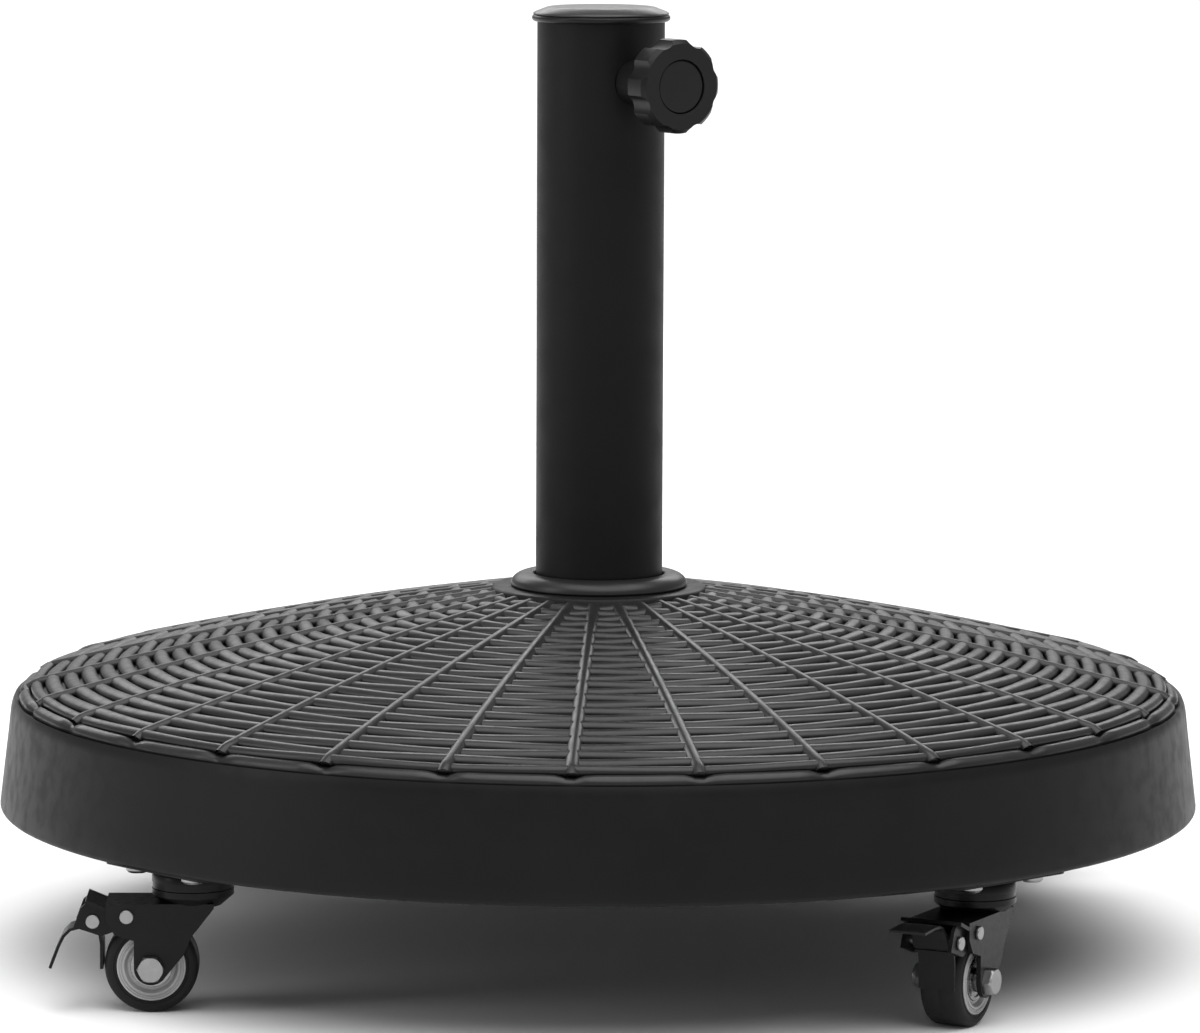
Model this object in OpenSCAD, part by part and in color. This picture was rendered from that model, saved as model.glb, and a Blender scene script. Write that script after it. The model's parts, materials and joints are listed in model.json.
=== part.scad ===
// Parasol base: a cast disc with a woven top, a steel tube with a clamp knob, and four braked castors.
// Millimetres. The origin is on the floor, on the tube's axis, and +Z is up.

/* [Cast disc] */
// Diameter of the disc at the bottom of its skirt
disc_d = 520; // [440:5:600]
// Height of the skirt, from the underside to the start of the rim's rounding
skirt_h = 41; // [30:1:60]
// How far the skirt leans inwards over its height
skirt_lean = 4.7; // [1:0.1:10]
// Radius of the rounding between skirt and dome
rim_r = 16; // [6:1:20]
// Height of the dome, from the rim up to the tube's seat
dome_rise = 38.5; // [20:0.5:60]
// Diameter of the flat seat in the middle of the dome
seat_d = 92; // [84:1:120]

/* [Tube] */
// Outer diameter of the tube
tube_d = 55; // [50:0.5:62]
// Wall of the tube
tube_wall = 1.5; // [1.2:0.1:2.5]
// Length of the tube above its seat
tube_len = 245; // [180:5:360]
// Thickness of the steel disc welded in the tube's foot
foot_t = 6; // [5:0.5:10]
// Diameter of the anchor bolt
anchor_d = 10; // [8:1:12]

/* [Collar] */
// How far the trim ring stands out past the tube
collar_w = 10.8; // [8:0.2:16]
// Height of the trim ring
collar_h = 5.8; // [4:0.2:10]

/* [Pole socket] */
// Wall of the plastic liner
liner_wall = 1.5; // [1:0.1:2.5]
// Length of the liner below its bead
liner_len = 60; // [45:1:90]
// Height of the liner's bead
bead_h = 3; // [2:0.2:5]
// How far the bead stands out past the tube
bead_out = 2.3; // [1:0.1:4]
// Height of the ring that centres the pole's lower end
pole_seat_h = 20; // [10:1:40]
// Depth of the cap's plug
plug_len = 12; // [8:1:20]
// Height of the cap above the bead
cap_h = 3.3; // [2:0.1:6]

/* [Clamp] */
// Distance of the clamp's axis below the top of the tube
clamp_drop = 25; // [22:1:40]
// Direction of the clamp round the tube, in degrees
clamp_dir = 306; // [0:1:359]
// Diameter of the knob over its lobes
knob_d = 40; // [36:1:44]
// Number of lobes on the knob
knob_lobes = 8; // [6:1:10]
// Thickness of the knob
knob_t = 12.5; // [9:0.5:18]
// Diameter of the threaded stud
stud_d = 8; // [6:1:10]
// Travel of the clamp pad
clamp_travel = 6; // [3:0.5:7]

/* [Castors] */
// Distance of the swivel axes from the tube's axis
castor_r = 229; // [180:1:230]
// Diameter of the wheels
wheel_d = 39; // [36:1:42]
// Width of the tyres
wheel_w = 18; // [14:0.5:20]
// Distance from the swivel axis to the wheel's axle
trail = 17; // [15:0.5:20]
// Diameter of the swivel race
race_d = 34; // [30:0.5:38]
// Height of the fork's top above the axle
fork_rise = 27; // [26:0.5:32]
// Length of a castor plate, along the disc's edge
plate_l = 66; // [60:1:72]
// Width of a castor plate, towards the disc's edge
plate_w = 44; // [40:1:50]
// Distance between a plate's screws, along the disc's edge
screw_gap_l = 36; // [34:1:50]
// Distance between a plate's screws, towards the disc's edge
screw_gap_w = 30; // [28:1:34]
// Angle that a pedal turns through, from locked to free
pedal_swing = 65; // [20:1:65]

/* [Hidden] */
$fn = 96;
CASTORS = ["fl", "fr", "br", "bl"];
CASTOR_PARTS = ["plate", "fork", "axle_bolt", "axle_nut", "wheel_core", "tyre", "bearings",
                "brake_bracket", "brake_pins", "pedal"];
BASE_PARTS = ["cast_disc", "screw_inserts", "castor_screws", "tube", "tube_foot", "anchor_bolt",
              "anchor_washer", "collar", "liner", "pole_seat", "clamp_boss", "clamp_pad", "knob",
              "knob_stud", "knob_disc", "cap", "kingpins", "swivel_balls", "swivel_races"];

// Castor places round the disc, the way each one trails, and how far its pedal is up from locked
castor_dir = [225, 315, 45, 135];
trail_dir = [183, 245, 28, 152];
pedal_up = [0, pedal_swing, pedal_swing, pedal_swing];

// Clearances
run_gap = 0.05;
part_gap = 0.3;

// Castor heights, from the floor up
axle_z = wheel_d / 2;
fork_z = axle_z + fork_rise;
fork_t = 2;
lower_cup_h = 5;
race_h = 2.4;
race_z = fork_z + lower_cup_h + part_gap;
upper_cup_h = 5.5;
plate_t = 2.5;
plate_z = race_z + race_h + upper_cup_h;
under_z = plate_z + plate_t;
cup_wall = 2;
ball_d = 4;
ball_z = fork_z + part_gap + ball_d / 2;
ball_pitch_r = race_d / 2 - 7.5;
kingpin_d = 8;

// Disc heights and radii
rim_arc_r0 = disc_d / 2 - skirt_lean - rim_r;
rim_arc_z0 = under_z + skirt_h;
rim_end = 76;
dome_r = rim_arc_r0 + rim_r * cos(rim_end);
dome_z = rim_arc_z0 + rim_r * sin(rim_end);
seat_z = dome_z + dome_rise;
// Share of the dome's rise that is a plain cone; the rest curves
dome_cone = 0.76;

// Tube and socket
tube_r = tube_d / 2;
tube_top = seat_z + tube_len;
bore_r = tube_r - tube_wall;
liner_r = bore_r - run_gap;
socket_r = liner_r - liner_wall;
bead_top = tube_top + bead_h;
bead_r = tube_r + bead_out;
foot_top = seat_z + foot_t;
washer_t = 2.5;
anchor_head_h = 6.5;
anchor_pocket = 18;
anchor_washer_d = 30;
// The liner's mouth is a little wider than the pole's bore, so that only the cap's plug sits in it
mouth_step = 0.3;
mouth_len = plug_len + 1;
plug_r = socket_r + mouth_step - 0.25;
cap_r = bead_r - 0.5;
collar_r = tube_r + collar_w;
cap_edge_t = 1;
cap_wall = 2;

// Clamp, measured along its own axis from the tube's axis
clamp_z = tube_top - clamp_drop;
stud_r = stud_d / 2;
pad_r = stud_r + 1;
pad_t = 3.4;
pad_n = socket_r + 0.35;
pad_pin_r = 2;
pad_pin_l = 4;
boss_n = bore_r + 11.5;
boss_r = stud_r + 6;
hub_len = 5;
hub_r = stud_r + 5;
hub_n = boss_n + clamp_travel + 0.5;
knob_n = hub_n + hub_len;
disc_recess = 1.2;
disc_r = knob_d * 0.29;
valley_r = 6;
valley_deep = 2.2;

// Castor plate screws
screw_d = 5;
screw_head_d = 9.5;
screw_head_h = 3;
screw_len = 12;
insert_d = 8;
insert_len = 14;

// Fork, wheel and brake, across the wheel
arm_in = wheel_w / 2 + 2.5;
arm_out = arm_in + fork_t;
axle_r = 3;
head_h = 4;
nut_h = 4.5;
hex_r = 5.8;
core_r = wheel_d / 2 - 5.2;
bearing_r = 8.6;
bearing_w = 5;
shoulder_r = 3;
cheek_t = 1.5;
cheek_out = arm_in - 0.1;
cheek_in = cheek_out - cheek_t;
lip_half = 13.5;
sheet_t = 1.3;
pin_r = 2;
barrel_r = 3.7;
rivet_head_r = 2.9;
rivet_head_t = 1.4;
// Brake pivot and bracket rivet, measured from the axle: behind it and above it
pivot = [wheel_d / 2 + 4.5, 19.4];
rivet = [9.9, 21.7];

// ---- helpers ----

// Height of the dome at radius r
function dome_at(r) =
    let (t = (r - seat_d / 2) / (dome_r - seat_d / 2))
    seat_z - dome_rise * (dome_cone * t + (1 - dome_cone) * t * t);

// Points of a strip of thickness t along a list of points
function unit(v) = v / norm(v);
function strip_normal(p, i) =
    let (a = p[max(i - 1, 0)], b = p[min(i + 1, len(p) - 1)], d = unit(b - a))
    [-d[1], d[0]];
function strip(p, t) = concat(
    [for (i = [0 : len(p) - 1]) p[i] + strip_normal(p, i) * t / 2],
    [for (i = [len(p) - 1 : -1 : 0]) p[i] - strip_normal(p, i) * t / 2]);

// Turns local Z to point away from the tube at the clamp's direction
module along_clamp() {
    translate([0, 0, clamp_z]) rotate([0, 0, clamp_dir]) rotate([0, 90, 0]) children();
}

// Puts a castor's swivel axis in place; local +X is the way it trails
module at_castor(i) {
    rotate([0, 0, castor_dir[i]]) translate([castor_r, 0, 0]) rotate([0, 0, trail_dir[i] - castor_dir[i]])
        children();
}

// Puts a castor plate in place; local X is along the disc's edge
module at_plate(i) {
    rotate([0, 0, castor_dir[i] - 90]) translate([0, castor_r, 0]) children();
}

module at_plate_screws() {
    for (sx = [-1, 1], sy = [-1, 1])
        translate([sx * screw_gap_l / 2, sy * screw_gap_w / 2, 0]) children();
}

// Side profile, drawn from the axle, given a width across the wheel
module across(y0, y1) {
    translate([trail, y1, axle_z]) rotate([90, 0, 0]) linear_extrude(y1 - y0) children();
}

module on_both_sides() {
    children();
    mirror([0, 1, 0]) children();
}

// Turns a ring about the axle
module about_axle() {
    translate([trail, 0, axle_z]) rotate([-90, 0, 0]) children();
}

// ---- cast disc and tube ----

module cast_disc() {
    edge = 2;
    color("#2b2b2c") difference() {
        rotate_extrude() polygon(concat(
            [[0, under_z], [disc_d / 2 - edge, under_z], [disc_d / 2, under_z + edge]],
            [for (a = [4 : 8 : rim_end]) [rim_arc_r0 + rim_r * cos(a), rim_arc_z0 + rim_r * sin(a)]],
            [for (k = [0 : 12]) let (r = dome_r + (seat_d / 2 - dome_r) * k / 12) [r, dome_at(r)]],
            [[0, seat_z]]));
        translate([0, 0, under_z - 1]) cylinder(h = anchor_pocket + 1, d = anchor_washer_d + 4);
        cylinder(h = seat_z + 1, d = anchor_d + 1);
        for (i = [0 : 3]) at_plate(i) at_plate_screws()
            translate([0, 0, under_z - 1]) cylinder(h = insert_len + 1, d = insert_d);
    }
}

module screw_inserts() {
    color("#b08d57") for (i = [0 : 3]) at_plate(i) at_plate_screws() translate([0, 0, under_z])
        difference() {
            cylinder(h = insert_len, d = insert_d);
            translate([0, 0, -1]) cylinder(h = screw_len + 2, d = screw_d);
        }
}

module castor_screws() {
    color("#b9bcc0") for (i = [0 : 3]) at_plate(i) at_plate_screws() translate([0, 0, plate_z]) {
        cylinder(h = plate_t + screw_len, d = screw_d);
        translate([0, 0, -screw_head_h]) difference() {
            rotate_extrude() polygon([[0, 0.4], [screw_head_d / 2 - 1, 0.4], [screw_head_d / 2, 1.4],
                                      [screw_head_d / 2, screw_head_h], [0, screw_head_h]]);
            for (a = [0, 90]) rotate([0, 0, a]) cube([5, 1, 3], center = true);
        }
    }
}

module tube() {
    color("#1d1d1e") difference() {
        translate([0, 0, seat_z]) cylinder(h = tube_len, r = tube_r);
        translate([0, 0, seat_z - 1]) cylinder(h = tube_len + 2, r = bore_r);
        along_clamp() cylinder(h = tube_d, r = boss_r);
    }
}

module tube_foot() {
    color("#3a3a3c") difference() {
        translate([0, 0, seat_z]) cylinder(h = foot_t, r = bore_r);
        translate([0, 0, seat_z - 1]) cylinder(h = foot_t + 2, d = anchor_d);
    }
}

module anchor_bolt() {
    head_z = under_z + anchor_pocket - washer_t - anchor_head_h;
    color("#b9bcc0") {
        translate([0, 0, head_z]) cylinder(h = foot_top - 0.5 - head_z, d = anchor_d);
        translate([0, 0, head_z]) cylinder(h = anchor_head_h, r = anchor_d * 0.92, $fn = 6);
    }
}

module anchor_washer() {
    color("#c9ccd0") translate([0, 0, under_z + anchor_pocket - washer_t]) difference() {
        cylinder(h = washer_t, d = anchor_washer_d);
        translate([0, 0, -1]) cylinder(h = washer_t + 2, d = anchor_d + 0.5);
    }
}

module collar() {
    round_r = 2.6;
    color("#2a2a2b") translate([0, 0, seat_z]) rotate_extrude() difference() {
        union() {
            translate([tube_r + part_gap, 0]) square([collar_r - tube_r - part_gap, collar_h - round_r]);
            translate([tube_r + part_gap, 0]) square([collar_r - tube_r - part_gap - round_r * 2, collar_h]);
            translate([collar_r - round_r * 2, 0]) intersection() {
                scale([2, 1]) translate([0, collar_h - round_r]) circle(r = round_r);
                square([round_r * 2, collar_h]);
            }
        }
        translate([tube_r, -0.01]) square([3, 1.5]);
    }
}

// ---- pole socket ----

module liner() {
    color("#1a1a1b") difference() {
        union() {
            translate([0, 0, tube_top - liner_len]) cylinder(h = liner_len + bead_h, r = liner_r);
            translate([0, 0, tube_top]) rotate_extrude() {
                translate([liner_r - 1, 0]) square([bead_r - bead_h / 2 - liner_r + 1, bead_h]);
                translate([bead_r - bead_h / 2, bead_h / 2]) circle(d = bead_h);
            }
        }
        translate([0, 0, tube_top - liner_len - 1]) cylinder(h = liner_len + bead_h + 2, r = socket_r);
        translate([0, 0, bead_top - mouth_len]) cylinder(h = mouth_len + 1, r = socket_r + mouth_step);
        along_clamp() cylinder(h = tube_d, r = pad_r + part_gap);
    }
}

module pole_seat() {
    color("#1a1a1b") translate([0, 0, foot_top]) difference() {
        cylinder(h = pole_seat_h, r = liner_r);
        translate([0, 0, -1]) cylinder(h = pole_seat_h + 2, r = socket_r);
        translate([0, 0, pole_seat_h - liner_wall]) cylinder(h = liner_wall + 0.01, r1 = socket_r, r2 = liner_r - 0.4);
    }
}

module cap() {
    plateau_r = cap_r * 0.76;
    color("#3c3c3d") translate([0, 0, bead_top]) rotate_extrude() polygon([
        [0, 0], [plug_r - cap_wall, 0], [plug_r - cap_wall, -plug_len], [plug_r, -plug_len], [plug_r, 0],
        [cap_r, 0], [cap_r, cap_edge_t], [plateau_r, cap_h], [0, cap_h]]);
}

// ---- clamp ----

module clamp_boss() {
    counterbore = pad_n + pad_t - bore_r + 1;
    color("#1d1d1e") along_clamp() difference() {
        translate([0, 0, bore_r]) cylinder(h = boss_n - bore_r, r = boss_r);
        translate([0, 0, bore_r - 1]) cylinder(h = boss_n - bore_r + 2, r = stud_r + run_gap);
        translate([0, 0, bore_r - 1]) cylinder(h = counterbore + 1, r = pad_r + part_gap);
        // the inner end follows the tube's bore
        rotate([0, -90, 0]) cylinder(h = boss_r * 4, r = bore_r, center = true);
    }
}

module clamp_pad() {
    color("#8a8a86") along_clamp() {
        translate([0, 0, pad_n]) cylinder(h = pad_t, r = pad_r);
        translate([0, 0, pad_n + pad_t]) cylinder(h = pad_pin_l, r = pad_pin_r - run_gap);
    }
}

module knob_stud() {
    tip_n = pad_n + pad_t + 0.05;
    color("#b9bcc0") along_clamp() difference() {
        translate([0, 0, tip_n]) cylinder(h = knob_n + knob_t * 0.6 - tip_n, r = stud_r);
        translate([0, 0, tip_n - 1]) cylinder(h = pad_pin_l + 1.2, r = pad_pin_r);
    }
}

module knob() {
    chamfer = 1.8;
    color("#1c1c1d") along_clamp() difference() {
        union() {
            translate([0, 0, hub_n]) cylinder(h = hub_len, r = hub_r);
            translate([0, 0, knob_n]) rotate_extrude() polygon([
                [0, 0], [knob_d / 2 - 1, 0], [knob_d / 2, 1], [knob_d / 2, knob_t - chamfer],
                [knob_d / 2 - chamfer, knob_t], [0, knob_t]]);
        }
        for (k = [0 : knob_lobes - 1]) rotate([0, 0, (k + 0.5) * 360 / knob_lobes])
            translate([knob_d / 2 + valley_r - valley_deep, 0, knob_n - 1]) cylinder(h = knob_t + 2, r = valley_r);
        translate([0, 0, hub_n - 1]) cylinder(h = hub_len + knob_t * 0.6 + 1, r = stud_r);
        translate([0, 0, knob_n + knob_t - disc_recess * 2]) cylinder(h = disc_recess * 2 + 1, r = disc_r);
    }
}

module knob_disc() {
    color("#202021") along_clamp() translate([0, 0, knob_n + knob_t - disc_recess * 2])
        rotate_extrude() polygon([[0, 0], [disc_r, 0], [disc_r, disc_recess], [disc_r - 0.8, disc_recess + 0.7],
                                  [0, disc_recess + 0.7]]);
}

// ---- castors: fixed half ----

module plate(i) {
    corner = 5;
    color("#2c2c2d") difference() {
        union() {
            at_plate(i) translate([0, 0, plate_z]) linear_extrude(plate_t) union() {
                square([plate_l - corner * 2, plate_w], center = true);
                square([plate_l, plate_w - corner * 2], center = true);
                for (sx = [-1, 1], sy = [-1, 1])
                    translate([sx * (plate_l / 2 - corner), sy * (plate_w / 2 - corner)]) circle(r = corner);
            }
            at_castor(i) translate([0, 0, race_z + race_h]) rotate_extrude() polygon([
                [race_d / 2 - cup_wall * 2, 0], [race_d / 2, 0], [race_d / 2, upper_cup_h * 0.5],
                [race_d / 2 - 1.5, upper_cup_h], [race_d / 2 - cup_wall * 2, upper_cup_h]]);
            at_castor(i) translate([0, 0, ball_z + ball_d / 2]) rotate_extrude()
                translate([ball_pitch_r - 2, 0]) square([4, plate_z - ball_z - ball_d / 2]);
        }
        at_plate(i) at_plate_screws() translate([0, 0, plate_z - 1]) cylinder(h = plate_t + 2, d = screw_d);
        at_castor(i) translate([0, 0, plate_z - 1]) cylinder(h = plate_t + 2, d = kingpin_d);
    }
}

module kingpins() {
    head_t = 2.5;
    color("#b9bcc0") for (i = [0 : 3]) at_castor(i) {
        translate([0, 0, fork_z - fork_t - part_gap - head_t])
            cylinder(h = under_z - 0.5 - fork_z + fork_t + part_gap + head_t, d = kingpin_d);
        translate([0, 0, fork_z - fork_t - part_gap - head_t]) cylinder(h = head_t, r = kingpin_d / 2 + 3);
    }
}

module swivel_balls() {
    balls = 12;
    color("#d8dadd") for (i = [0 : 3]) at_castor(i) for (k = [0 : balls - 1])
        rotate([0, 0, k * 360 / balls]) translate([ball_pitch_r, 0, ball_z]) sphere(d = ball_d, $fn = 24);
}

module swivel_races() {
    color("#d8dadd") for (i = [0 : 3]) at_castor(i) translate([0, 0, race_z]) difference() {
        cylinder(h = race_h, r = race_d / 2 - 0.2);
        translate([0, 0, -1]) cylinder(h = race_h + 2, r = race_d / 2 - cup_wall);
    }
}

// ---- castors: swivelling half ----

// One arm of the fork, from the crown down to the axle
module arm_shape() {
    difference() {
        union() {
            polygon([[-26, fork_rise], [18.6, fork_rise], [18.6, 20], [15, 14], [7, 11.5], [7, 0], [-6, -3.6],
                     [-13.5, 5.5], [-17, 13.5], [-26, fork_rise - 2]]);
            circle(r = 7);
        }
        circle(r = axle_r);
        translate(rivet) circle(r = pin_r);
    }
}

module fork(i) {
    color("#262627") at_castor(i) difference() {
        union() {
            on_both_sides() across(arm_in, arm_out) arm_shape();
            translate([trail - 26, -arm_out, fork_z - fork_t]) cube([44.6, arm_out * 2, fork_t]);
            translate([0, 0, fork_z - fork_t]) rotate_extrude() polygon([
                [0, 0], [race_d / 2 - 5, 0], [race_d / 2, fork_t + 2.4], [race_d / 2, fork_t + lower_cup_h],
                [race_d / 2 - cup_wall, fork_t + lower_cup_h], [race_d / 2 - cup_wall, fork_t + 3],
                [race_d / 2 - 5.4, fork_t], [0, fork_t]]);
        }
        translate([0, 0, fork_z - fork_t - 1]) cylinder(h = fork_t + 2, d = kingpin_d + run_gap * 2);
    }
}

module axle_bolt(i) {
    color("#b9bcc0") at_castor(i) translate([trail, 0, axle_z]) rotate([-90, 0, 0]) {
        translate([0, 0, -arm_out - nut_h - 1.2]) cylinder(h = arm_out * 2 + nut_h + 1.2, r = axle_r);
        translate([0, 0, arm_out]) intersection() {
            cylinder(h = head_h, r = hex_r, $fn = 6);
            cylinder(h = head_h, r1 = hex_r + 1.4, r2 = hex_r - 0.7);
        }
    }
}

module axle_nut(i) {
    color("#b9bcc0") at_castor(i) translate([trail, -arm_out - nut_h, axle_z]) rotate([-90, 0, 0]) difference() {
        intersection() {
            cylinder(h = nut_h, r = hex_r, $fn = 6);
            cylinder(h = nut_h, r1 = hex_r - 0.7, r2 = hex_r + 1.4);
        }
        translate([0, 0, -1]) cylinder(h = nut_h + 2, r = axle_r);
    }
}

module brake_bracket(i) {
    leaf_u = wheel_d / 2 + 1.1;
    leaf_half = wheel_w / 2 - 1;
    color("#262627") at_castor(i) difference() {
        union() {
            on_both_sides() across(cheek_in, cheek_out)
                polygon([[4.5, 17], [4.5, 24.8], [19, 24.8], [26.4, 27.4], [29, 25], [32, 17],
                         [pivot[0] - 3.5, 13.2], [14, 15.5]]);
            across(-cheek_out, cheek_out) polygon([[4.5, 23.5], [19, 23.5], [19, 25], [4.5, 25]]);
            across(-lip_half, lip_half) polygon(strip([[18.9, 24.7], [20.5, 25.3], [27, 28]], 1.5));
            // the brake's leaf hangs in front of the tyre
            across(-leaf_half, leaf_half) polygon(strip([[leaf_u, -1.2], [leaf_u, 9], [leaf_u + 0.9, 15]], sheet_t));
            across(-cheek_out, cheek_out)
                polygon(strip([[leaf_u + 0.7, 13.7], [leaf_u + 0.9, 15]], sheet_t));
        }
        for (p = [pivot, rivet]) across(-lip_half, lip_half) translate(p) circle(r = pin_r);
    }
}

module brake_pins(i) {
    color("#b9bcc0") at_castor(i) {
        on_both_sides() {
            across(cheek_in, arm_out) translate(rivet) circle(r = pin_r);
            across(arm_out, arm_out + rivet_head_t) translate(rivet) circle(r = rivet_head_r);
            across(cheek_out, cheek_out + rivet_head_t) translate(pivot) circle(r = rivet_head_r);
        }
        across(-cheek_out, cheek_out) translate(pivot) circle(r = pin_r);
    }
}

module pedal(i) {
    half = min(8, cheek_in - part_gap);
    // the strip is drawn from the pivot, in the locked position
    color("#2e2e30") at_castor(i) difference() {
        union() {
            across(-half, half) translate(pivot) circle(r = barrel_r);
            across(-half, half) translate(pivot) rotate(pedal_up[i])
                polygon(strip([[0, -2.8], [5.5, -3.1], [9.6, -4.2], [12.4, -7], [14.4, -11], [18, -20.4]], sheet_t));
        }
        across(-half - 1, half + 1) translate(pivot) circle(r = pin_r + run_gap);
    }
}

// ---- castors: wheel ----

module tyre(i) {
    color("#202021") at_castor(i) about_axle() rotate_extrude() {
        r = wheel_d / 2;
        difference() {
            union() {
                translate([core_r, -wheel_w / 2]) square([r - core_r - shoulder_r, wheel_w]);
                translate([core_r, -wheel_w / 2 + shoulder_r]) square([r - core_r, wheel_w - shoulder_r * 2]);
                for (s = [-1, 1]) translate([r - shoulder_r, s * (wheel_w / 2 - shoulder_r)]) circle(r = shoulder_r);
            }
            // the shoulders' circles end at the wheel core
            translate([0, -wheel_w]) square([core_r, wheel_w * 2]);
        }
    }
}

module wheel_core(i) {
    w = wheel_w / 2 + 0.3;
    color("#b4b4b2") at_castor(i) about_axle() rotate_extrude() difference() {
        translate([axle_r + 2.5, -w]) square([core_r - axle_r - 2.5, w * 2]);
        for (s = [-1, 1]) scale([1, s]) {
            polygon([[0, w - 1.3], [9.3, w - 1.3], [11.2, w], [11.2, w + 1], [0, w + 1]]);
            translate([0, w - 0.7 - bearing_w]) square([bearing_r, bearing_w + 2]);
        }
    }
}

module bearings(i) {
    w = wheel_w / 2 - 0.4;
    bore = axle_r + run_gap;
    color("#c4c6c9") at_castor(i) about_axle() {
        for (s = [-1, 1]) scale([1, 1, s]) rotate_extrude() polygon([
            [bore, w - bearing_w], [bearing_r, w - bearing_w], [bearing_r, w], [bearing_r - 1.5, w],
            [bearing_r - 1.5, w - 0.6], [axle_r + 2, w - 0.6], [axle_r + 2, arm_in - part_gap],
            [bore, arm_in - part_gap]]);
        difference() {
            cylinder(h = (w - bearing_w) * 2, r = axle_r + 1.5, center = true);
            cylinder(h = wheel_w, r = bore, center = true);
        }
    }
}

// ---- nodes ----

cast_disc();
screw_inserts();
castor_screws();
tube();
tube_foot();
anchor_bolt();
anchor_washer();
collar();
liner();
pole_seat();
clamp_boss();
clamp_pad();
knob();
knob_stud();
knob_disc();
cap();
kingpins();
swivel_balls();
swivel_races();
for (i = [0 : 3]) {
    plate(i);
    fork(i);
    axle_bolt(i);
    axle_nut(i);
    wheel_core(i);
    tyre(i);
    bearings(i);
    brake_bracket(i);
    brake_pins(i);
    pedal(i);
}
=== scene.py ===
import json
import math

import bmesh
import bpy
from mathutils import Matrix, Vector


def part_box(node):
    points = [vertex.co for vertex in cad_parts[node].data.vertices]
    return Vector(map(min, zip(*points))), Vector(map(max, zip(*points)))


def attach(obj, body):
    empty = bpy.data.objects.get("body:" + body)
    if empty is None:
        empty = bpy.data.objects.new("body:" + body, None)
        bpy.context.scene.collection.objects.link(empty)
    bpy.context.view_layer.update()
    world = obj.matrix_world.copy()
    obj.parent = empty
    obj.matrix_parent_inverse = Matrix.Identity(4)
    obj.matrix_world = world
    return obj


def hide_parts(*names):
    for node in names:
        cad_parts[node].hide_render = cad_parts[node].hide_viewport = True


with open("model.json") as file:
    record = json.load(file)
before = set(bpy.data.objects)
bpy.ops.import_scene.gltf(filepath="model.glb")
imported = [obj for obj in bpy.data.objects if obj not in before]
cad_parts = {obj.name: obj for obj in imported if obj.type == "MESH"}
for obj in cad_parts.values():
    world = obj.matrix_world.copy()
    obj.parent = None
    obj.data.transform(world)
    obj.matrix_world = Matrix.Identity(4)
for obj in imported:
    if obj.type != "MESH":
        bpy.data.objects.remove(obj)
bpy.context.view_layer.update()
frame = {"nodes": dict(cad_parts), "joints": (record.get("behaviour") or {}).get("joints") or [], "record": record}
nodes = frame["nodes"]
joints = {joint["name"]: joint for joint in frame["joints"]}
bodyOf = {}
for bodyName, members in frame["record"]["behaviour"]["bodies"].items():
    for member in members:
        bodyOf[member] = bodyName
castorNames = ["fl", "fr", "br", "bl"]
mm = 0.001
print("frame loaded,", len(nodes), "pieces")


# a socket that does sums: each sum adds its Math node
class Wire:
    def __init__(self, tree, socket):
        self.tree = tree
        self.socket = socket

    def math(self, operation, first, second=None):
        values = {0: first} if second is None else {0: first, 1: second}
        return self.tree.add("ShaderNodeMath", {"operation": operation}, values)

    def other(self, name):
        return Wire(self.tree, self.socket.node.outputs[name])

    def __add__(self, value):
        return self.math("ADD", self, value)

    __radd__ = __add__

    def __sub__(self, value):
        return self.math("SUBTRACT", self, value)

    def __rsub__(self, value):
        return self.math("SUBTRACT", value, self)

    def __mul__(self, value):
        return self.math("MULTIPLY", self, value)

    __rmul__ = __mul__

    def __truediv__(self, value):
        return self.math("DIVIDE", self, value)

    def __rtruediv__(self, value):
        return self.math("DIVIDE", value, self)

    def __pow__(self, value):
        return self.math("POWER", self, value)

    def __gt__(self, value):
        return self.math("GREATER_THAN", self, value)

    def cos(self):
        return self.math("COSINE", self)

    def sin(self):
        return self.math("SINE", self)

    def atLeast(self, value):
        return self.math("MAXIMUM", self, value)

    def angleFrom(self, value):
        return self.math("ARCTAN2", self, value)


class Tree:
    def __init__(self, nodeTree):
        self.nodeTree = nodeTree
        nodeTree.nodes.clear()

    # settings are set first, then the sockets get their values or links
    def add(self, kind, settings=None, values=None, out=0):
        node = self.nodeTree.nodes.new(kind)
        for name, value in (settings or {}).items():
            if name == "stops":
                ramp = node.color_ramp
                while len(ramp.elements) < len(value):
                    ramp.elements.new(0.5)
                for element, (place, tone) in zip(ramp.elements, value):
                    element.position = place
                    element.color = (tone, tone, tone, 1)
            else:
                setattr(node, name, value)
        for name, value in (values or {}).items():
            socket = node.inputs[name]
            for part in value if isinstance(value, list) else [value]:
                if isinstance(part, Wire):
                    self.nodeTree.links.new(part.socket, socket)
                else:
                    socket.default_value = part
        return Wire(self, node.outputs[out]) if node.outputs else None


def grey(tone, warmth=0.0):
    return (tone * (1 + warmth), tone, tone * (1 - warmth), 1)


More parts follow.
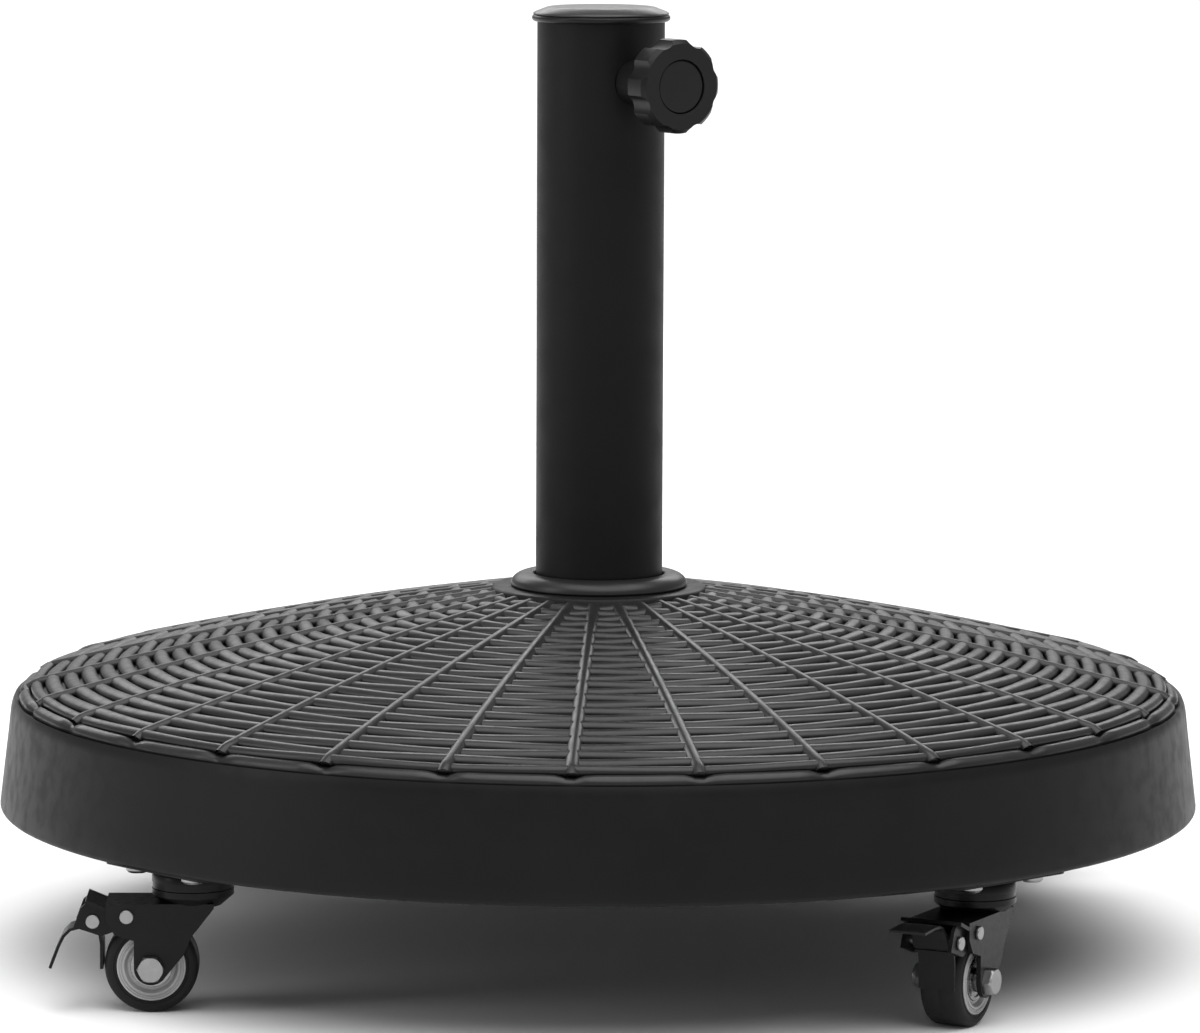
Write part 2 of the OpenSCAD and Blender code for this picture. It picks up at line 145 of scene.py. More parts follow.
# tones are linear; grains are millimetres across
finishes = {
    # castBlackShaded and weaveBlackLit are one cast resin: the shell's darker tones are painted shade on the skirt, the
    # weave's lighter tones painted light on the top
    "castBlackShaded": {"dark": 0.005, "light": 0.009, "patch": 40, "rough": (0.38, 0.52), "grain": 1.1, "bump": 0.10,
                  "shine": 0.14},
    "weaveBlackLit": {"dark": 0.010, "light": 0.020, "patch": 25, "rough": (0.30, 0.44), "grain": 0.9, "bump": 0.10,
                   "shine": 0.36},
    "powderBlack": {"dark": 0.004, "light": 0.006, "patch": 60, "rough": (0.46, 0.56), "grain": 0.8, "bump": 0.22,
                    "shine": 0.14},
    "collarBlack": {"dark": 0.012, "light": 0.018, "patch": 30, "rough": (0.34, 0.44), "grain": 0.5, "bump": 0.05,
                    "shine": 0.35},
    "plasticBlack": {"dark": 0.005, "light": 0.008, "patch": 20, "rough": (0.34, 0.44), "grain": 0.35, "bump": 0.08,
                     "shine": 0.22},
    "capBlack": {"dark": 0.016, "light": 0.024, "patch": 18, "rough": (0.32, 0.42), "grain": 0.4, "bump": 0.05,
                 "shine": 0.45},
    "plasticGrey": {"dark": 0.20, "light": 0.26, "patch": 8, "rough": (0.40, 0.50), "grain": 0.4, "bump": 0.05},
    "hubGrey": {"dark": 0.30, "light": 0.40, "patch": 9, "rough": (0.30, 0.44), "grain": 0.4, "bump": 0.05},
    "tyreBlack": {"dark": 0.007, "light": 0.012, "patch": 7, "rough": (0.50, 0.66), "grain": 0.3, "bump": 0.14,
                  "shine": 0.2},
    "steelBlack": {"dark": 0.004, "light": 0.008, "patch": 12, "rough": (0.28, 0.42), "grain": 0.6, "bump": 0.08,
                   "shine": 0.16},
    "zinc": {"dark": 0.26, "light": 0.36, "patch": 3, "rough": (0.30, 0.46), "grain": 0.9, "bump": 0.02, "metal": 1.0},
    "polishedSteel": {"dark": 0.66, "light": 0.74, "patch": 5, "rough": (0.10, 0.20), "grain": 0.8, "bump": 0.02,
                      "metal": 1.0},
    # bearing steel with its tones darkened, a painted shade for the recess inside the hub
    "bearingSteelShaded": {"dark": 0.22, "light": 0.36, "patch": 4, "rough": (0.24, 0.36), "grain": 0.6, "bump": 0.03,
                     "metal": 1.0},
    "brass": {"dark": 0.40, "light": 0.55, "patch": 5, "rough": (0.25, 0.38), "grain": 0.8, "bump": 0.03,
              "metal": 1.0, "warmth": 0.4},
}

# how the patches and the smaller spots share the roughness, and how deep the bump is
surface = {"patchShare": 0.4, "spotShare": 0.6, "spotFrom": 0.42, "spotTo": 0.68, "spotsPerPatch": 5, "bumpMm": 0.2,
           "patchBump": 0.5}


def makeFinish(name):
    look = finishes[name]
    material = bpy.data.materials.new(name)
    material.use_nodes = True
    tree = Tree(material.node_tree)
    place = tree.add("ShaderNodeTexCoord", out="Object")

    def noise(sizeMm, detail):
        return tree.add("ShaderNodeTexNoise", {}, {"Vector": place, "Scale": 1 / (sizeMm * mm), "Detail": detail})

    patches = noise(look["patch"], 4)
    grain = noise(look["grain"], 2)
    spots = tree.add("ShaderNodeValToRGB", {"stops": [(surface["spotFrom"], 0), (surface["spotTo"], 1)]},
                     {"Fac": noise(look["patch"] / surface["spotsPerPatch"], 5)})
    warmth = look.get("warmth", 0.0)
    colour = tree.add("ShaderNodeMix", {"data_type": "RGBA"},
                      {0: patches, 6: grey(look["dark"], warmth), 7: grey(look["light"], warmth)}, out=2)
    smooth, rough = look["rough"]
    worn = patches * surface["patchShare"] + spots * surface["spotShare"]
    roughness = smooth + (rough - smooth) * worn
    normal = tree.add("ShaderNodeBump", {}, {"Strength": look["bump"], "Distance": surface["bumpMm"] * mm,
                                             "Height": grain + patches * surface["patchBump"]})
    shader = tree.add("ShaderNodeBsdfPrincipled", {}, {
        "Base Color": colour, "Roughness": roughness, "Metallic": look.get("metal", 0.0), "Normal": normal,
        "Specular IOR Level": look.get("shine", 0.5)})
    tree.add("ShaderNodeOutputMaterial", {}, {"Surface": shader})
    return material


finish = {name: makeFinish(name) for name in finishes}
print("finishes made:", len(finish))


def addPiece(name, mesh, body, finishName, stands=()):
    piece = bpy.data.objects.new(name, mesh)
    bpy.context.scene.collection.objects.link(piece)
    mesh.materials.clear()
    mesh.materials.append(finish[finishName])
    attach(piece, body)
    if stands:
        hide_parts(*stands)
    return piece


def smoothByAngle(bm, degrees):
    for face in bm.faces:
        face.smooth = True
    for edge in bm.edges:
        if len(edge.link_faces) == 2 and edge.calc_face_angle(0) > math.radians(degrees):
            edge.smooth = False


# outline points are (radius, height) in millimetres; closed outlines are rings, open ones start and end on the axis
def turnedMesh(name, outline, steps=96, closed=False, place=Matrix(), sharp=35):
    bm = bmesh.new()
    rows = []
    for radius, height in outline:
        if radius < 1e-6:
            rows.append([bm.verts.new((0, 0, height * mm))])
            continue
        rows.append([bm.verts.new((radius * mm * math.cos(a), radius * mm * math.sin(a), height * mm))
                     for a in (2 * math.pi * k / steps for k in range(steps))])
    pairs = list(zip(rows, rows[1:]))
    if closed:
        pairs.append((rows[-1], rows[0]))
    for low, high in pairs:
        for k in range(steps):
            n = (k + 1) % steps
            if len(low) == 1 and len(high) == 1:
                continue
            if len(low) == 1:
                bm.faces.new((low[0], high[n], high[k]))
            elif len(high) == 1:
                bm.faces.new((low[k], low[n], high[0]))
            else:
                bm.faces.new((low[k], low[n], high[n], high[k]))
    bm.transform(place)
    bmesh.ops.recalc_face_normals(bm, faces=bm.faces)
    smoothByAngle(bm, sharp)
    mesh = bpy.data.meshes.new(name)
    bm.to_mesh(mesh)
    bm.free()
    return mesh


def arc(centre, radius, start, end, count, squash=1.0):
    return [(centre[0] + radius * math.cos(math.radians(a)), centre[1] + radius * squash * math.sin(math.radians(a)))
            for a in (start + (end - start) * k / count for k in range(count + 1))]


easing = {"mergeMm": 0.002, "flatDegrees": 0.6, "sharpDegrees": 34, "segments": 2}


# a copy of a CAD piece with its sharp edges broken
def easedPiece(node, finishName, width):
    bm = bmesh.new()
    bm.from_mesh(nodes[node].data)
    bmesh.ops.remove_doubles(bm, verts=bm.verts, dist=easing["mergeMm"] * mm)
    bmesh.ops.dissolve_limit(bm, angle_limit=math.radians(easing["flatDegrees"]), verts=bm.verts, edges=bm.edges)
    smoothByAngle(bm, easing["sharpDegrees"])
    mesh = bpy.data.meshes.new(node + "Eased")
    bm.to_mesh(mesh)
    bm.free()
    piece = addPiece(node + "_eased", mesh, bodyOf[node], finishName, [node])
    bevel = piece.modifiers.new("edges", "BEVEL")
    bevel.width = width * mm
    bevel.segments = easing["segments"]
    bevel.limit_method = "ANGLE"
    bevel.angle_limit = math.radians(easing["sharpDegrees"])
    bevel.harden_normals = True
    return piece


def newGeometryTree(name, inputs):
    group = bpy.data.node_groups.new(name, "GeometryNodeTree")
    tree = Tree(group)
    for label, (kind, value) in inputs.items():
        socket = group.interface.new_socket(label, in_out="INPUT", socket_type=kind)
        if value is not None:
            socket.default_value = value
    group.interface.new_socket("Geometry", in_out="OUTPUT", socket_type="NodeSocketGeometry")
    return group, tree


def finishGeometryTree(tree, geometry, given):
    whole = tree.add("GeometryNodeRealizeInstances", {}, {"Geometry": geometry})
    smooth = tree.add("GeometryNodeSetShadeSmooth", {}, {"Geometry": whole})
    coated = tree.add("GeometryNodeSetMaterial", {}, {"Geometry": smooth, "Material": given.other("Material")})
    tree.add("NodeGroupOutput", {}, {"Geometry": coated})


def bakeGeometry(name, group, values):
    carrier = bpy.data.objects.new(name + "Carrier", bpy.data.meshes.new(name + "Carrier"))
    bpy.context.scene.collection.objects.link(carrier)
    modifier = carrier.modifiers.new("make", "NODES")
    modifier.node_group = group
    for item in group.interface.items_tree:
        if item.in_out == "INPUT" and item.name in values:
            modifier[item.identifier] = values[item.name]
    bpy.context.view_layer.update()
    ready = carrier.evaluated_get(bpy.context.evaluated_depsgraph_get())
    mesh = bpy.data.meshes.new_from_object(ready)
    bpy.data.objects.remove(carrier)
    return mesh


# the woven disc; its sizes are in millimetres
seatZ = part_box("collar")[0].z / mm
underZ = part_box("cast_disc")[0].z / mm
disc = {
    "radius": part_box("cast_disc")[1].x / mm, "skirtHeight": 41, "skirtLean": 4.7, "rimRound": 16, "rimEnd": 76,
    "seatRadius": 46, "coneShare": 0.76, "bottomEdge": 2.0,
    "bedDepth": 4.8, "smoothRadius": 46.5, "boltHole": 5.5, "pocketRadius": 17, "pocketDepth": 18,
    "pocketCorner": 0.5, "pocketChamfer": 1, "undersideRings": (60, 120, 180, 230), "seatRing": 30,
    "skirtSteps": 6, "domeSteps": 40,
}
rimCentre = (disc["radius"] - disc["skirtLean"] - disc["rimRound"], underZ + disc["skirtHeight"])
domeRadius = rimCentre[0] + disc["rimRound"] * math.cos(math.radians(disc["rimEnd"]))
domeEdgeZ = rimCentre[1] + disc["rimRound"] * math.sin(math.radians(disc["rimEnd"]))
domeRise = seatZ - domeEdgeZ


def domeHeight(radius):
    share = (radius - disc["seatRadius"]) / (domeRadius - disc["seatRadius"])
    return seatZ - domeRise * (disc["coneShare"] * share + (1 - disc["coneShare"]) * share * share)


def discOutline():
    edge, outer, bed, smooth = disc["bottomEdge"], disc["radius"], disc["bedDepth"], disc["smoothRadius"]
    pocket, corner, chamfer = disc["pocketRadius"], disc["pocketCorner"], disc["pocketChamfer"]
    pocketZ = underZ + disc["pocketDepth"]
    points = [(disc["boltHole"], pocketZ), (pocket - corner, pocketZ), (pocket, pocketZ - corner),
              (pocket, underZ + chamfer), (pocket + chamfer, underZ)]
    points += [(radius, underZ) for radius in disc["undersideRings"]]
    points += arc((outer - edge, underZ + edge), edge, -90, 6, 6)
    steps = disc["skirtSteps"]
    points += [(outer - disc["skirtLean"] * k / steps, underZ + edge + (disc["skirtHeight"] - edge) * k / steps)
               for k in range(1, steps)]
    points += arc(rimCentre, disc["rimRound"], 6, 26, 5)
    points += arc(rimCentre, disc["rimRound"] - bed, 28, disc["rimEnd"], 8)
    # the bed under the weave, then the step up to the smooth seat
    for k in range(1, disc["domeSteps"] + 1):
        radius = domeRadius + (smooth + 1.2 - domeRadius) * k / disc["domeSteps"]
        points.append((radius, domeHeight(radius) - bed))
    points += [(smooth + 0.3, seatZ - 1.0), (smooth - 0.4, seatZ - 0.2), (smooth - 1.2, seatZ),
               (disc["seatRing"], seatZ), (disc["boltHole"], seatZ)]
    return points


# the shell takes the darker tone of the cast resin, a painted shade
addPiece("discShell", turnedMesh("discShell", discOutline(), steps=180, closed=True, sharp=40),
         "base", "castBlackShaded", ["cast_disc"])

# lengths in metres; the wave is how far a ring dips at every second spoke
weave = {
    "Ring Count": 26, "Spoke Count": 30, "Outer Ring": 0.2455, "Ring Pitch": 0.0078,
    "Strand Width": 0.0067, "Strand Height": 0.0045, "Wave": 0.0007,
    "Spoke Width": 0.0062, "Spoke Height": 0.0046, "Spoke Lift": 0.0002, "Spoke Start": 0.0462, "Spoke End": 0.2500,
    "Spoke Taper": 0.55, "Rim Strand": 0.2533, "Rim Width": 0.0076, "Rim Notch": 0.0024, "Sink": 0.0032, "Turn": 0.0977,
}

weaveDetail = {"strandSides": 10, "ringStepsPerSpoke": 10, "rimStepsPerSpoke": 12, "spokeSteps": 60, "notchPower": 6}


def weaveTree():
    inputs = {name: ("NodeSocketInt" if name.endswith("Count") else "NodeSocketFloat", value)
              for name, value in weave.items()}
    inputs["Material"] = ("NodeSocketMaterial", None)
    group, tree = newGeometryTree("basketWeave", inputs)
    given = tree.add("NodeGroupInput")
    size = {name: given.other(name) for name in weave}
    fullTurn = 2 * math.pi

    def polar():
        place = tree.add("GeometryNodeInputPosition")
        parts = tree.add("ShaderNodeSeparateXYZ", {}, {"Vector": place})
        return parts, parts.other("Y"), parts.other("Z")

    def pointRow(count):
        return tree.add("GeometryNodeMeshLine", {"mode": "OFFSET"}, {"Count": count, "Offset": (0, 0, 0)})

    def profile(width, height):
        loop = tree.add("GeometryNodeCurvePrimitiveCircle", {}, {
            "Resolution": weaveDetail["strandSides"], "Radius": 0.5})
        scale = tree.add("ShaderNodeCombineXYZ", {}, {"X": width, "Y": height, "Z": 1.0})
        return tree.add("GeometryNodeTransform", {}, {"Geometry": loop, "Scale": scale})

    def strandMesh(curve, width, height):
        upright = tree.add("GeometryNodeSetCurveNormal", {"mode": "Z_UP"}, {"Curve": curve})
        return tree.add("GeometryNodeCurveToMesh", {}, {"Curve": upright, "Profile Curve": profile(width, height)})

    def roundStrand(radius, height, base):
        x, y = polar()[:2]
        around = y.angleFrom(x)
        place = tree.add("ShaderNodeCombineXYZ", {}, {
            "X": radius * around.cos(), "Y": radius * around.sin(), "Z": height(around)})
        return tree.add("GeometryNodeSetPosition", {}, {"Geometry": base, "Position": place})

    # the rings, laid flat: each stays level at one spoke and dips by the wave at the next
    ring = tree.add("GeometryNodeInputNamedAttribute", {"data_type": "FLOAT"}, {"Name": "ring"})
    numbered = tree.add("GeometryNodeStoreNamedAttribute", {"data_type": "FLOAT", "domain": "POINT"}, {
        "Geometry": pointRow(size["Ring Count"]), "Name": "ring", "Value": tree.add("GeometryNodeInputIndex")})
    loops = tree.add("GeometryNodeInstanceOnPoints", {}, {
        "Points": numbered,
        "Instance": tree.add("GeometryNodeCurvePrimitiveCircle", {}, {
            "Resolution": size["Spoke Count"] * weaveDetail["ringStepsPerSpoke"], "Radius": 1.0})})
    loops = tree.add("GeometryNodeRealizeInstances", {}, {"Geometry": loops})

    def ringWave(around):
        beat = ((around - size["Turn"]) * size["Spoke Count"] * 0.5 + ring * math.pi).cos()
        return (beat * 0.5 - 0.5) * size["Wave"]

    rings = roundStrand(size["Outer Ring"] - size["Ring Pitch"] * ring, ringWave, loops)
    rings = strandMesh(rings, size["Strand Width"], size["Strand Height"])

    # the spokes, narrower towards the tube
    ray = tree.add("GeometryNodeCurvePrimitiveLine", {}, {
        "Start": tree.add("ShaderNodeCombineXYZ", {}, {"X": size["Spoke Start"], "Z": size["Spoke Lift"]}),
        "End": tree.add("ShaderNodeCombineXYZ", {}, {"X": size["Spoke End"], "Z": size["Spoke Lift"]})})
    ray = tree.add("GeometryNodeResampleCurve", {}, {"Curve": ray, "Count": weaveDetail["spokeSteps"]})
    x = polar()[0]
    outward = (x - size["Spoke Start"]) / (size["Spoke End"] - size["Spoke Start"])
    thickness = size["Spoke Taper"] + (1 - size["Spoke Taper"]) * outward
    ray = tree.add("GeometryNodeSetCurveRadius", {}, {"Curve": ray, "Radius": thickness})
    stick = strandMesh(ray, size["Spoke Width"], size["Spoke Height"])
    spokeTurn = tree.add("GeometryNodeInputIndex") * fullTurn / size["Spoke Count"] + size["Turn"]
    spokes = tree.add("GeometryNodeInstanceOnPoints", {}, {
        "Points": pointRow(size["Spoke Count"]), "Instance": stick,
        "Rotation": tree.add("ShaderNodeCombineXYZ", {}, {"Z": spokeTurn})})
    spokes = tree.add("GeometryNodeRealizeInstances", {}, {"Geometry": spokes})

    # the rim strand dips at every spoke
    rimLoop = tree.add("GeometryNodeCurvePrimitiveCircle", {}, {
        "Resolution": size["Spoke Count"] * weaveDetail["rimStepsPerSpoke"], "Radius": 1.0})

    def rimWave(around):
        beat = ((around - size["Turn"]) * size["Spoke Count"]).cos().atLeast(0.0)
        return beat ** weaveDetail["notchPower"] * -1 * size["Rim Notch"]

    rim = roundStrand(size["Rim Strand"], rimWave, rimLoop)
    rim = strandMesh(rim, size["Rim Width"], size["Strand Height"])

    # everything flat is wrapped over the dome and round the rim
    flat = tree.add("GeometryNodeJoinGeometry", {}, {"Geometry": [rings, spokes, rim]})
    x, y, z = polar()
    out = (x * x + y * y) ** 0.5
    lift = z - size["Sink"]
    span = (domeRadius - disc["seatRadius"]) * mm
    share = (out - disc["seatRadius"] * mm) / span
    curve = 1 - disc["coneShare"]
    height = seatZ * mm - (share * disc["coneShare"] + share * share * curve) * domeRise * mm
    slope = (share * 2 * curve + disc["coneShare"]) * (domeRise * mm / span)
    lean = (slope * slope + 1) ** 0.5
    domeOut = out + lift * slope / lean
    domeUp = height + lift / lean
    bend = math.radians(disc["rimEnd"]) - (out - domeRadius * mm) / (disc["rimRound"] * mm)
    reach = lift + disc["rimRound"] * mm
    rimOut = reach * bend.cos() + rimCentre[0] * mm
    rimUp = reach * bend.sin() + rimCentre[1] * mm
    onRim = out > domeRadius * mm
    newOut = domeOut + (rimOut - domeOut) * onRim
    newUp = domeUp + (rimUp - domeUp) * onRim
    wrapped = tree.add("GeometryNodeSetPosition", {}, {"Geometry": flat, "Position": tree.add(
        "ShaderNodeCombineXYZ", {}, {"X": x / out * newOut, "Y": y / out * newOut, "Z": newUp})})
    finishGeometryTree(tree, wrapped, given)
    return group


# the weave takes the lighter tone of the same resin, a painted light
weaveMesh = bakeGeometry("discWeave", weaveTree(), {**weave, "Material": finish["weaveBlackLit"]})
addPiece("discWeave", weaveMesh, "base", "weaveBlackLit")
print("weave made:", len(weaveMesh.polygons), "faces")


# the collar's ring
collar = {"tubeGap": 0.3, "footRound": 0.8, "footHeight": 0.9, "crown": 6.4, "lipRound": 1.3}


def collarOutline():
    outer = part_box("collar")[1].x / mm
    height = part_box("collar")[1].z / mm - seatZ
    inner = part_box("tube")[1].x / mm + collar["tubeGap"]
    foot, crown, crownZ = collar["footRound"], collar["crown"], seatZ + collar["footHeight"]
    points = [(inner, seatZ + 0.2), (outer - 0.6, seatZ + 0.05)]
    points += arc((outer - foot, crownZ), foot, -60, 10, 4)
    points += arc((outer - crown, crownZ), crown, 8, 84, 12, (height - collar["footHeight"]) / crown)
    points += arc((inner + 1.6, seatZ + height - 1.2), collar["lipRound"], 88, 176, 6)
    return points


addPiece("collarRing", turnedMesh("collarRing", collarOutline(), steps=144, closed=True, sharp=50),
         "base", "collarBlack", ["collar"])

cap = {"plugRadius": 24.5, "plateau": 22.2, "edgeRound": 0.35, "plugWall": 2.0, "plugLength": 12, "edge": 0.4,
       "plugChamfer": 0.6}


def capOutline():
    low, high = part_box("cap")
    radius, top = high.x / mm, high.z / mm
    seat, foot = low.z / mm + cap["plugLength"], low.z / mm
    plug, edge, chamfer, plateau, rounding = (
        cap[key] for key in ("plugRadius", "edge", "plugChamfer", "plateau", "edgeRound"))
    hollow = plug - cap["plugWall"]
    points = [(0, seat + edge), (hollow, seat + edge), (hollow, seat - cap["plugLength"] + edge),
              (hollow + edge, foot), (plug - chamfer, foot), (plug, foot + chamfer), (plug, seat)]
    points += arc((radius - rounding, seat + rounding), rounding, -90, 60, 4)
    points += [(radius - 0.9, seat + 1.15), (plateau + 1.2, top - 0.22), (plateau + 0.2, top - 0.06),
               (plateau - 1.0, top), (plateau * 0.5, top), (0, top)]
    return points


addPiece("capShell", turnedMesh("capShell", capOutline(), steps=120, sharp=45), "cap", "capBlack",
         ["cap"])

for node, slot, look, width in [
        ("tube", "powder_black", "powderBlack", 0.3), ("liner", "plastic_black", "plasticBlack", 0.25),
        ("clamp_boss", "powder_black", "powderBlack", 0.8), ("tube_foot", "powder_black", "powderBlack", 0.4),
        ("knob", "plastic_black", "plasticBlack", 0.55), ("knob_disc", "plastic_black", "plasticBlack", 0.2)]:
    easedPiece(node, look, width)
print("tube and clamp made")

# the clamp stud: a core with a thread wound on it, along its own axis
# thread sizes in metres, stud sizes in millimetres; the thread starts at threadFrom and leaves threadFree bare
thread = {"Radius": 0.0034, "Pitch": 0.00125, "Depth": 0.0006}
stud = {"chamfer": 0.6, "pinHole": 2.1, "pinDepth": 4.6, "threadFrom": 1.2, "threadFree": 2.5,
        "stepsPerTurn": 40, "crestSides": 4}


def threadTree():
    inputs = {name: ("NodeSocketFloat", value) for name, value in thread.items()}
    inputs["Material"] = ("NodeSocketMaterial", None)
    group, tree = newGeometryTree("screwThread", inputs)
    given = tree.add("NodeGroupInput")
    turns = given.other("Turns")
    helix = tree.add("GeometryNodeCurveSpiral", {}, {
        "Resolution": stud["stepsPerTurn"], "Rotations": turns, "Start Radius": given.other("Radius"),
        "End Radius": given.other("Radius"), "Height": turns * given.other("Pitch")})
    helix = tree.add("GeometryNodeSetCurveNormal", {"mode": "Z_UP"}, {"Curve": helix})
    crest = tree.add("GeometryNodeCurvePrimitiveCircle", {}, {
        "Resolution": stud["crestSides"], "Radius": given.other("Depth")})
    body = tree.add("GeometryNodeCurveToMesh", {}, {"Curve": helix, "Profile Curve": crest, "Fill Caps": True})
    finishGeometryTree(tree, body, given)
    return group


# turns local Z to lie along a joint's axis
def alongAxis(joint):
    turned = Vector(joint["axis"]).normalized().to_track_quat("Z", "Y").to_matrix().to_4x4()
    return Matrix.Translation(Vector(joint["pos_m"])) @ turned


outward = alongAxis(joints["knob_turn"]) @ Matrix.Rotation(math.pi, 4, "X")
along = [(outward.inverted() @ vertex.co).z / mm for vertex in nodes["knob_stud"].data.vertices]
studStart, studEnd = min(along), max(along)


def studOutline():
    core, hole, chamfer = thread["Radius"] / mm, stud["pinHole"], stud["chamfer"]
    holeEnd = studStart + stud["pinDepth"]
    return [(0, holeEnd), (hole, holeEnd), (hole, studStart), (core - chamfer, studStart),
            (core, studStart + chamfer), (core, studEnd), (0, studEnd)]


addPiece("studCore", turnedMesh("studCore", studOutline(), 48, False, outward), "knob", "zinc", ["knob_stud"])
thread["Turns"] = (studEnd - studStart - stud["threadFree"]) * mm / thread["Pitch"]
studThread = bakeGeometry("studThread", threadTree(), {**thread, "Material": finish["zinc"]})
studThread.transform(outward @ Matrix.Translation((0, 0, (studStart + stud["threadFrom"]) * mm)))
addPiece("studThread", studThread, "knob", "zinc")


# castor wheels, in millimetres from the middle of the axle
wheel = {"radius": 19.5, "halfWidth": 9.0, "shoulder": 2.8, "hubRadius": 14.3, "hubHalfWidth": 9.3, "bore": 5.5,
         "bearingRadius": 8.6, "bearingDepth": 5.3, "groove": 0.45, "faceInset": 1.3, "bead": 0.45, "hubEdge": 0.35,
         "tyreStep": 0.25}


def bothSides(outline):
    return outline + [(radius, -height) for radius, height in reversed(outline)]


def hubOutline():
    w, groove, bearing = wheel["hubHalfWidth"], wheel["groove"], wheel["bearingRadius"]
    bead, edge = wheel["bead"], wheel["hubEdge"]
    face = w - wheel["faceInset"]
    seat = face + 0.6 - wheel["bearingDepth"]

    def grooveAt(radii, level, depth):
        return list(zip(radii, (level, level - depth, level - depth, level)))

    points = [(wheel["bore"], seat), (bearing, seat), (bearing, face - 0.2), (bearing + 0.2, face)]
    points += grooveAt((9.4, 9.6, 10.0, 10.2), face, groove)
    points += arc((11.4, w - bead), bead, 170, 95, 4)
    points += grooveAt((12.0, 12.15, 12.5, 12.65), w, groove)
    points += grooveAt((13.0, 13.15, 13.4, 13.5), w, groove * 0.7)
    points += arc((wheel["hubRadius"] - edge, w - edge), edge, 90, 0, 4)
    return bothSides(points)


def tyreOutline():
    w, r, shoulder, step = wheel["halfWidth"], wheel["radius"], wheel["shoulder"], wheel["tyreStep"]
    points = [(wheel["hubRadius"], w - 0.3), (wheel["hubRadius"] + 0.3, w), (15.0, w), (15.2, w - step),
              (15.5, w - step), (15.7, w)]
    points += arc((r - shoulder - 0.1, w - shoulder), shoulder, 90, 12, 8)
    points += [(r - 0.06, w - shoulder - 1.0), (r, w - shoulder - 2.6), (r, 0.35), (r - 0.12, 0.12)]
    return bothSides(points)


castorPieces = {
    "plate": ("castor_black", "steelBlack", 0.4), "fork": ("castor_black", "steelBlack", 0.35),
    "brake_bracket": ("castor_black", "steelBlack", 0.3), "pedal": ("pedal_black", "steelBlack", 0.3),
    "brake_pins": ("zinc", "zinc", 0.5), "axle_bolt": ("zinc", "zinc", 0.25), "axle_nut": ("zinc", "zinc", 0.2),
    # the bearings' steel is darkened as painted shade
    "bearings": ("polished_steel", "bearingSteelShaded", 0.15),
}
for castor in castorNames:
    onAxle = alongAxis(joints[castor + "_wheel_spin"])
    wheelBody = castor + "_wheel"
    addPiece(castor + "_hub", turnedMesh(castor + "Hub", hubOutline(), 96, True, onAxle), wheelBody,
             "hubGrey", [castor + "_wheel_core"])
    addPiece(castor + "_tread", turnedMesh(castor + "Tread", tyreOutline(), 120, True, onAxle), wheelBody,
             "tyreBlack", [castor + "_tyre"])
    for part, (slot, look, width) in castorPieces.items():
        easedPiece(castor + "_" + part, look, width)
print("castors made:", len(castorNames))

# CAD pieces that keep their own shape
for node, look in [
        ("screw_inserts", "brass"), ("castor_screws", "zinc"), ("anchor_bolt", "zinc"), ("anchor_washer", "zinc"),
        ("pole_seat", "plasticBlack"), ("clamp_pad", "plasticGrey"), ("kingpins", "zinc"),
        ("swivel_balls", "polishedSteel"), ("swivel_races", "steelBlack")]:
    nodes[node].data.materials.clear()
    nodes[node].data.materials.append(finish[look])


def addFloor():
    mesh = bpy.data.meshes.new("floor")
    half = 30
    mesh.from_pydata([(-half, -half, 0), (half, -half, 0), (half, half, 0), (-half, half, 0)], [], [(0, 1, 2, 3)])
    floor = bpy.data.objects.new("floor", mesh)
    bpy.context.scene.collection.objects.link(floor)
    material = bpy.data.materials.new("paleFloor")
    material.use_nodes = True
    tree = Tree(material.node_tree)
    shader = tree.add("ShaderNodeBsdfPrincipled", {}, {"Base Color": grey(0.92), "Roughness": 0.9})
    tree.add("ShaderNodeOutputMaterial", {}, {"Surface": shader})
    mesh.materials.append(material)


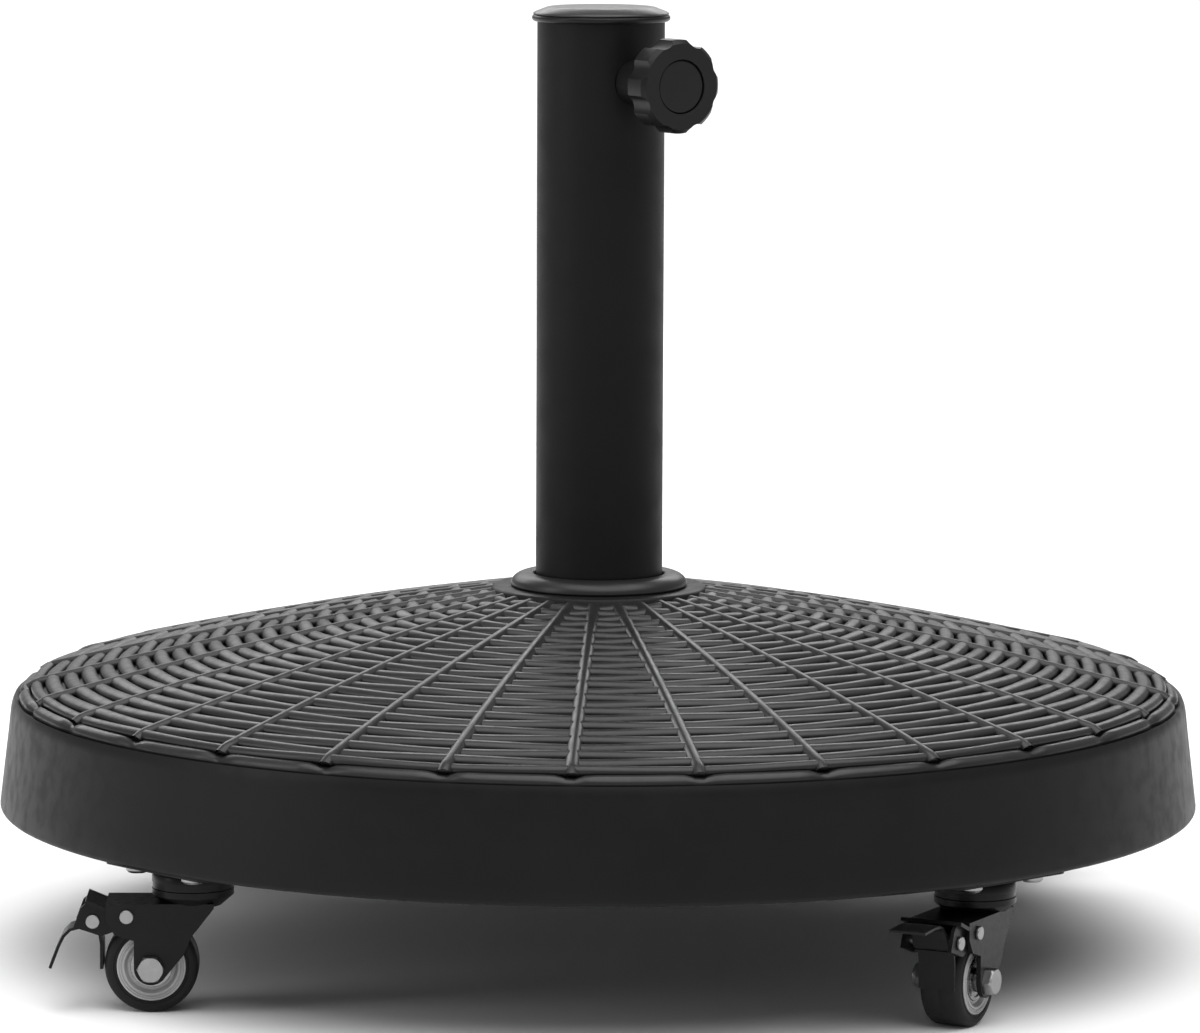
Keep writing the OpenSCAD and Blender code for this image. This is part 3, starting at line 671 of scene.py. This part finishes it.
def addSoftbox(name, place, target, size, power):
    light = bpy.data.lights.new(name, "AREA")
    light.shape = "RECTANGLE"
    light.size, light.size_y = size
    light.energy = power
    lamp = bpy.data.objects.new(name, light)
    lamp.matrix_world = Matrix.Translation(Vector(place)) @ (
        (Vector(target) - Vector(place)).to_track_quat("-Z", "Y").to_matrix().to_4x4())
    bpy.context.scene.collection.objects.link(lamp)


def addSun(name, towards, strength, spread):
    light = bpy.data.lights.new(name, "SUN")
    light.energy = strength
    light.angle = math.radians(spread)
    lamp = bpy.data.objects.new(name, light)
    lamp.matrix_world = Vector(towards).to_track_quat("Z", "Y").to_matrix().to_4x4()
    bpy.context.scene.collection.objects.link(lamp)


def addCamera():
    view = {"around": 272.1, "distance": 3.0, "height": 0.5642, "pitch": 0.1250, "roll": 0.0040,
            "focalPx": 6961, "frameWidth": 1200, "centreX": 599.2}
    spot = math.radians(view["around"])
    lens = bpy.data.cameras.new("camera")
    lens.sensor_width = 36
    lens.lens = view["focalPx"] / view["frameWidth"] * lens.sensor_width
    lens.shift_x = (view["frameWidth"] / 2 - view["centreX"]) / view["frameWidth"]
    lens.clip_end = 200
    camera = bpy.data.objects.new("camera", lens)
    camera.matrix_world = (
        Matrix.Translation((view["distance"] * math.cos(spot), view["distance"] * math.sin(spot), view["height"]))
        @ Matrix.Rotation(spot + math.pi / 2, 4, "Z") @ Matrix.Rotation(math.pi / 2 - view["pitch"], 4, "X")
        @ Matrix.Rotation(view["roll"], 4, "Z"))
    bpy.context.scene.collection.objects.link(camera)
    bpy.context.scene.camera = camera


addFloor()
aim = (0, 0, 0.12)
addSun("daylight", towards=(0.12, -0.25, 1.0), strength=3.2, spread=75)
addSoftbox("backTop", place=(-0.5, 2.6, 1.5), target=aim, size=(3.6, 0.8), power=30)
addSoftbox("left", place=(-2.4, -1.0, 1.3), target=aim, size=(0.9, 1.8), power=16)
addCamera()

roomLight = 0.30
world = bpy.data.worlds.new("room")
world.use_nodes = True
world.node_tree.nodes["Background"].inputs["Color"].default_value = grey(1.0)
world.node_tree.nodes["Background"].inputs["Strength"].default_value = roomLight
bpy.context.scene.world = world
bpy.context.scene.view_settings.view_transform = "Standard"

print("scene ready")
